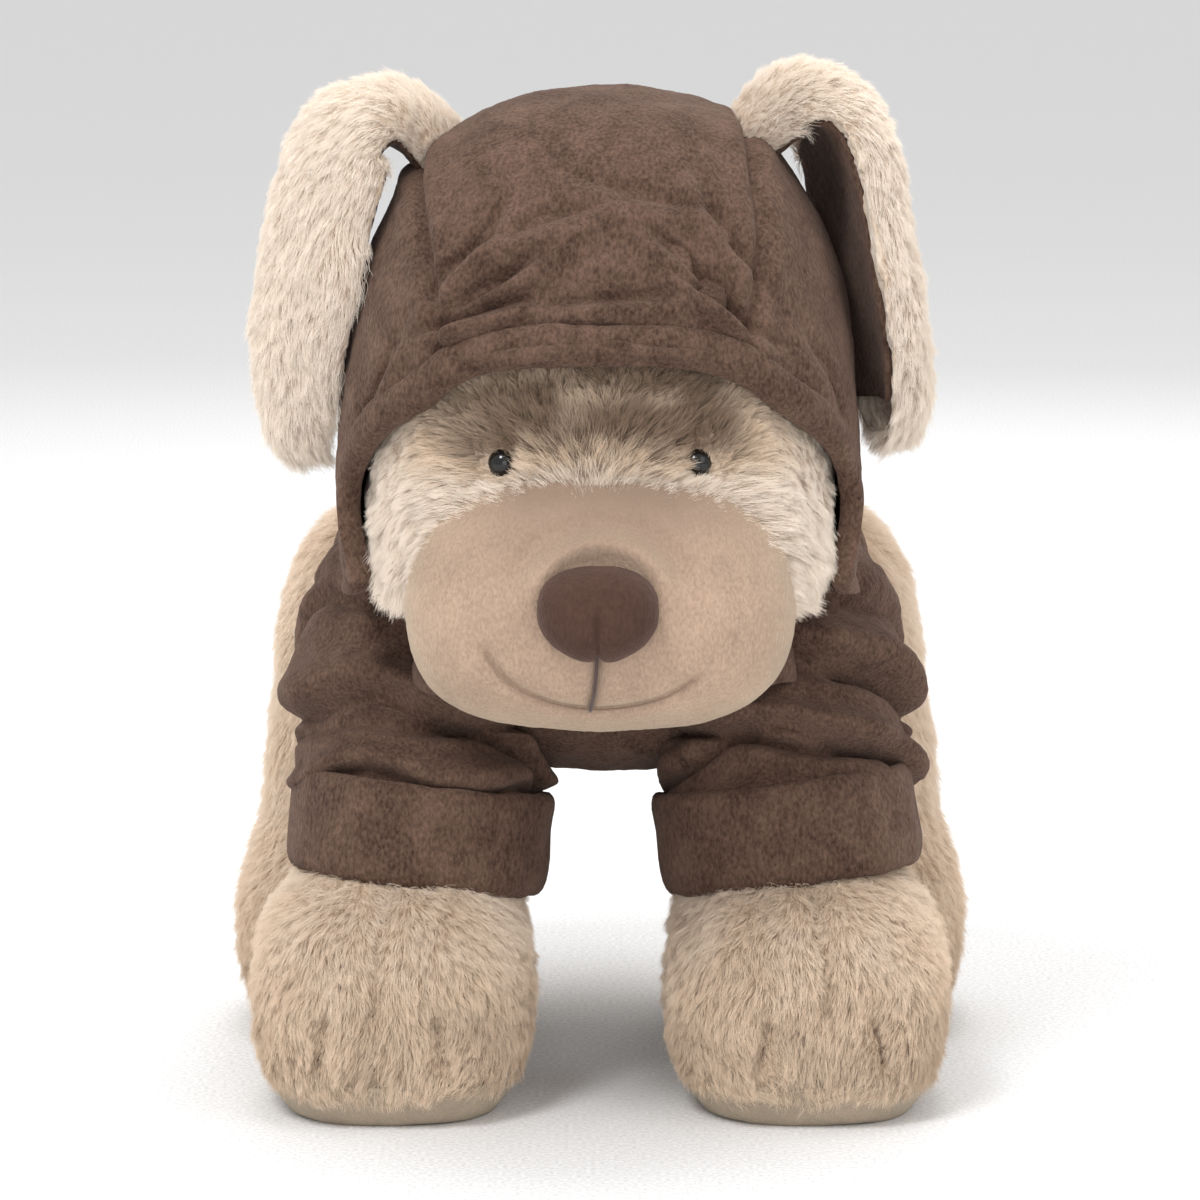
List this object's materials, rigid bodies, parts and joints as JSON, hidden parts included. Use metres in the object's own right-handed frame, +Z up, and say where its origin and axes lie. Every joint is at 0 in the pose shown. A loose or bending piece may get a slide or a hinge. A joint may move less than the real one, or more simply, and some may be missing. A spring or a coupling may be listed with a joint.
{
  "type": "plush dog",
  "caption": "Standing stuffed plush dog with long fur, hanging ears, an embroidered smile and a hooded velour sweater.",
  "frame": {"origin": "on the ground under the middle of the dog", "axes": "+Z up, nose towards -Y, the dog's own left side at +X"},
  "size_m": [0.244, 0.323, 0.329],
  "materials": {
    "cream_fur": "long-pile faux fur",
    "eye_plastic": "polished",
    "hoodie_velour": "brushed velour",
    "label_ribbon": "satin ribbon",
    "muzzle_fleece": "short-pile fleece",
    "nose_velour": "brushed velour",
    "sole_knit": "knitted jersey",
    "stuffing": "polyester fibre",
    "thread": "embroidery thread",
    "washer_plastic": "moulded"
  },
  "bodies": {
    "torso": {"care_label": "label_ribbon", "hoodie_body": "hoodie_velour", "hoodie_hem": "hoodie_velour", "torso_skin": "cream_fur", "torso_stuffing": "stuffing"},
    "neck": {"hoodie_collar": "hoodie_velour", "neck_stuffing": "stuffing"},
    "head": {"ear_root_left": "cream_fur", "ear_root_right": "cream_fur", "eye_left": "eye_plastic", "eye_right": "eye_plastic", "eye_washer_left": "washer_plastic", "eye_washer_right": "washer_plastic", "head_skin": "cream_fur", "head_stuffing": "stuffing", "hood_centre_panel": "hoodie_velour", "hood_rim": "hoodie_velour", "hood_side_panel_left": "hoodie_velour", "hood_side_panel_right": "hoodie_velour", "lip_stitch": "thread", "mouth_stitch": "thread", "muzzle_skin": "muzzle_fleece", "muzzle_stuffing": "stuffing", "nose_cover": "nose_velour", "nose_stuffing": "stuffing"},
    "ear_left": {"ear_lining_left": "hoodie_velour", "ear_plush_left": "cream_fur"},
    "ear_right": {"ear_lining_right": "hoodie_velour", "ear_plush_right": "cream_fur"},
    "front_leg_left": {"front_leg_skin_left": "cream_fur", "front_leg_stuffing_left": "stuffing", "front_paw_sole_left": "sole_knit", "front_toe_stitches_left": "thread", "sleeve_cuff_left": "hoodie_velour", "sleeve_left": "hoodie_velour"},
    "front_leg_right": {"front_leg_skin_right": "cream_fur", "front_leg_stuffing_right": "stuffing", "front_paw_sole_right": "sole_knit", "front_toe_stitches_right": "thread", "sleeve_cuff_right": "hoodie_velour", "sleeve_right": "hoodie_velour"},
    "hind_leg_left": {"hind_leg_skin_left": "cream_fur", "hind_leg_stuffing_left": "stuffing", "hind_paw_sole_left": "sole_knit", "hind_toe_stitches_left": "thread"},
    "hind_leg_right": {"hind_leg_skin_right": "cream_fur", "hind_leg_stuffing_right": "stuffing", "hind_paw_sole_right": "sole_knit", "hind_toe_stitches_right": "thread"},
    "tail": {"tail_skin": "cream_fur", "tail_stuffing": "stuffing"}
  },
  "joints": [
    {"name": "head_turn", "type": "hinge", "parent": "torso", "child": "neck", "pos_m": [0, -0.0565, 0.1838], "axis": [0, 0, 1], "range_deg": [-18, 18], "stiffness_Nm_per_rad": 1},
    {"name": "head_nod", "type": "hinge", "parent": "neck", "child": "head", "pos_m": [0, -0.0565, 0.1838], "axis": [1, 0, 0], "range_deg": [-8, 8], "stiffness_Nm_per_rad": 2},
    {"name": "ear_left_flop", "type": "hinge", "parent": "head", "child": "ear_left", "pos_m": [0.071, -0.0485, 0.321], "axis": [0, -1, 0], "range_deg": [0, 80]},
    {"name": "ear_right_flop", "type": "hinge", "parent": "head", "child": "ear_right", "pos_m": [-0.071, -0.0485, 0.321], "axis": [0, 1, 0], "range_deg": [0, 80]},
    {"name": "front_leg_left_swing", "type": "hinge", "parent": "torso", "child": "front_leg_left", "pos_m": [0.036, -0.018, 0.133], "axis": [1, 0, 0], "range_deg": [-12, 8], "stiffness_Nm_per_rad": 2},
    {"name": "hind_leg_left_swing", "type": "hinge", "parent": "torso", "child": "hind_leg_left", "pos_m": [0.036, 0.076, 0.13], "axis": [1, 0, 0], "range_deg": [-8, 12], "stiffness_Nm_per_rad": 2},
    {"name": "front_leg_right_swing", "type": "hinge", "parent": "torso", "child": "front_leg_right", "pos_m": [-0.036, -0.018, 0.133], "axis": [1, 0, 0], "range_deg": [-12, 8], "stiffness_Nm_per_rad": 2},
    {"name": "hind_leg_right_swing", "type": "hinge", "parent": "torso", "child": "hind_leg_right", "pos_m": [-0.036, 0.076, 0.13], "axis": [1, 0, 0], "range_deg": [-8, 12], "stiffness_Nm_per_rad": 2},
    {"name": "tail_wag", "type": "hinge", "parent": "torso", "child": "tail", "pos_m": [0, 0.11292, 0.171], "axis": [0, 0, 1], "range_deg": [-20, 20], "stiffness_Nm_per_rad": 0.05}
  ]
}
